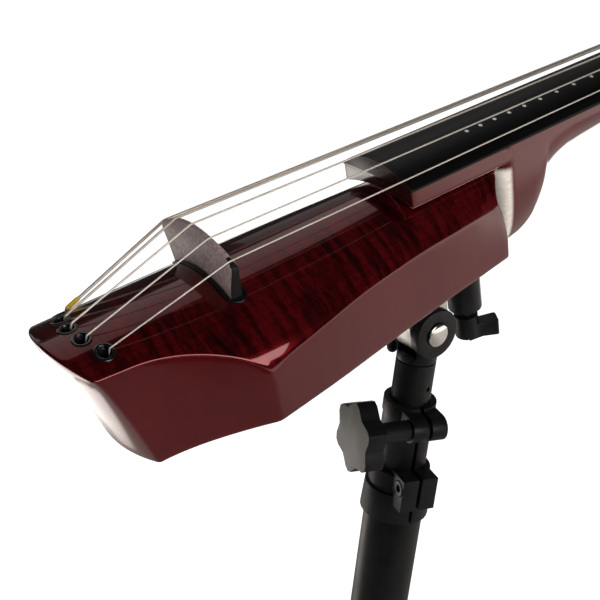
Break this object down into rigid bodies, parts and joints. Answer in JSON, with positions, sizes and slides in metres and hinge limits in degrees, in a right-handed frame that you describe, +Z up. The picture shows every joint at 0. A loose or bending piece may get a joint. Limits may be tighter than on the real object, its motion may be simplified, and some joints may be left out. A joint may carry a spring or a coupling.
{
  "type": "electric cello on tripod stand",
  "caption": "Slim solid-body electric cello with an arched flamed top, curved bridge and long fingerboard, on a tilting clamp head and a height-adjustable folding tripod.",
  "frame": {"origin": "centre of the object's footprint box on the floor plane that the feet stand on", "axes": "+Z up along the stand's pole, +X the way the neck points in plan, +Y the instrument's bass-string side"},
  "size_m": [0.9112, 0.611, 0.928],
  "materials": {
    "flamed_top": "gloss transparent dark red over flamed maple",
    "body_lacquer": "gloss dark red lacquer",
    "ebony": "satin black",
    "bridge_wood": "satin dark grey",
    "black_plastic": "fine matte",
    "black_metal": "satin black coat",
    "black_metal_knob": "satin black anodised",
    "string_steel": "wound steel",
    "chrome": "polished",
    "cast_metal": "satin cast",
    "rubber": "matte"
  },
  "bodies": {
    "base": {"outer_tube": "black_metal", "leg_hub": "black_plastic", "leg_pin_1": "chrome", "leg_pin_2": "chrome", "leg_pin_3": "chrome", "sleeve_clamp": "black_plastic", "lower_clamp": "black_plastic", "socket_screw": "black_metal"},
    "riser": {"inner_tube": "black_metal", "yoke": "black_metal", "hinge_pin": "chrome"},
    "instrument": {"body_core": "body_lacquer", "carved_top": "flamed_top", "neck": "body_lacquer", "fingerboard": "ebony", "nut": "ebony", "bridge": "bridge_wood", "bridge_base": "black_plastic", "electronics_cover": "black_plastic", "output_jack": "chrome", "mount_plate": "black_metal", "tilt_knuckle": "cast_metal", "clamp_post": "black_metal", "string_1": "string_steel", "string_2": "string_steel", "string_3": "string_steel", "string_4": "string_steel", "string_5": "string_steel", "ferrule_1": "black_plastic", "ferrule_2": "black_plastic", "ferrule_3": "black_plastic", "ferrule_4": "black_plastic", "ferrule_5": "black_plastic", "tuner_housing_1": "chrome", "tuner_housing_2": "chrome", "tuner_housing_3": "chrome", "tuner_housing_4": "chrome", "tuner_housing_5": "chrome"},
    "tilt_lock": {"tilt_lever": "black_plastic"},
    "clamp_handle": {"clamp_lever": "black_plastic"},
    "sleeve_lock": {"star_knob": "black_plastic"},
    "volume": {"volume_knob": "black_metal_knob"},
    "tone": {"tone_knob": "black_metal_knob"},
    "leg_1_swing": {"leg_1": "black_metal", "foot_1": "rubber"},
    "leg_2_swing": {"leg_2": "black_metal", "foot_2": "rubber"},
    "leg_3_swing": {"leg_3": "black_metal", "foot_3": "rubber"},
    "key_1": {"tuner_key_1": "chrome"},
    "post_1": {"tuner_post_1": "chrome"},
    "key_2": {"tuner_key_2": "chrome"},
    "post_2": {"tuner_post_2": "chrome"},
    "key_3": {"tuner_key_3": "chrome"},
    "post_3": {"tuner_post_3": "chrome"},
    "key_4": {"tuner_key_4": "chrome"},
    "post_4": {"tuner_post_4": "chrome"},
    "key_5": {"tuner_key_5": "chrome"},
    "post_5": {"tuner_post_5": "chrome"}
  },
  "joints": [
    {"name": "stand_height", "type": "slide", "parent": "base", "child": "riser", "axis": [0, 0, 1], "range_m": [-0.012, 0.12]},
    {"name": "neck_tilt", "type": "hinge", "parent": "riser", "child": "instrument", "pos_m": [-0.21187, 0, 0.63726], "axis": [0, 1, 0], "range_deg": [-40, 18]},
    {"name": "tilt_lock_turn", "type": "hinge", "parent": "riser", "child": "tilt_lock", "pos_m": [-0.21187, 0, 0.63726], "axis": [0, 1, 0], "range_deg": [-70, 70]},
    {"name": "clamp_lever_turn", "type": "hinge", "parent": "instrument", "child": "clamp_handle", "pos_m": [-0.17211, 0, 0.62979], "axis": [-0.309, 0, 0.9511], "range_deg": [-55, 115]},
    {"name": "star_knob_turn", "type": "hinge", "parent": "base", "child": "sleeve_lock", "pos_m": [-0.21693, -0.02141, 0.57876], "axis": [-0.9732, 0.23, 0], "continuous": true},
    {"name": "volume_turn", "type": "hinge", "parent": "instrument", "child": "volume", "pos_m": [-0.30278, 0.0462, 0.66303], "axis": [0.1308, 0.9905, 0.0425], "range_deg": [-150, 150]},
    {"name": "tone_turn", "type": "hinge", "parent": "instrument", "child": "tone", "pos_m": [-0.27235, 0.04168, 0.67292], "axis": [0.1308, 0.9905, 0.0425], "range_deg": [-150, 150]},
    {"name": "leg_1_fold", "type": "hinge", "parent": "base", "child": "leg_1_swing", "pos_m": [-0.17587, 0, 0.29727], "axis": [0, 1, 0], "range_deg": [0, 46]},
    {"name": "leg_2_fold", "type": "hinge", "parent": "base", "child": "leg_2_swing", "pos_m": [-0.22987, 0.03118, 0.29727], "axis": [-0.866, -0.5, 0], "range_deg": [0, 46]},
    {"name": "leg_3_fold", "type": "hinge", "parent": "base", "child": "leg_3_swing", "pos_m": [-0.22987, -0.03118, 0.29727], "axis": [0.866, -0.5, 0], "range_deg": [0, 46]},
    {"name": "key_1_turn", "type": "hinge", "parent": "instrument", "child": "key_1", "pos_m": [0.33787, -0.0207, 0.87583], "axis": [0, -1, 0], "continuous": true},
    {"name": "post_1_turn", "type": "hinge", "parent": "instrument", "child": "post_1", "pos_m": [0.33348, -0.0207, 0.8981], "axis": [-0.1935, 0, 0.9811], "continuous": true},
    {"name": "key_2_turn", "type": "hinge", "parent": "instrument", "child": "key_2", "pos_m": [0.383, -0.01225, 0.88473], "axis": [0, -1, 0], "continuous": true},
    {"name": "post_2_turn", "type": "hinge", "parent": "instrument", "child": "post_2", "pos_m": [0.37861, -0.01225, 0.907], "axis": [-0.1935, 0, 0.9811], "continuous": true},
    {"name": "key_3_turn", "type": "hinge", "parent": "instrument", "child": "key_3", "pos_m": [0.42421, 0.00385, 0.89286], "axis": [0, 1, 0], "continuous": true},
    {"name": "post_3_turn", "type": "hinge", "parent": "instrument", "child": "post_3", "pos_m": [0.41981, 0.00385, 0.91513], "axis": [-0.1935, 0, 0.9811], "continuous": true},
    {"name": "key_4_turn", "type": "hinge", "parent": "instrument", "child": "key_4", "pos_m": [0.383, 0.0125, 0.88473], "axis": [0, 1, 0], "continuous": true},
    {"name": "post_4_turn", "type": "hinge", "parent": "instrument", "child": "post_4", "pos_m": [0.37861, 0.0125, 0.907], "axis": [-0.1935, 0, 0.9811], "continuous": true},
    {"name": "key_5_turn", "type": "hinge", "parent": "instrument", "child": "key_5", "pos_m": [0.33787, 0.02115, 0.87583], "axis": [0, 1, 0], "continuous": true},
    {"name": "post_5_turn", "type": "hinge", "parent": "instrument", "child": "post_5", "pos_m": [0.33348, 0.02115, 0.8981], "axis": [-0.1935, 0, 0.9811], "continuous": true}
  ],
  "couplings": [
    {"joint": "post_1_turn", "follows": "key_1_turn", "ratio": 0.0714},
    {"joint": "post_2_turn", "follows": "key_2_turn", "ratio": 0.0714},
    {"joint": "post_3_turn", "follows": "key_3_turn", "ratio": 0.0714},
    {"joint": "post_4_turn", "follows": "key_4_turn", "ratio": 0.0714},
    {"joint": "post_5_turn", "follows": "key_5_turn", "ratio": 0.0714}
  ]
}
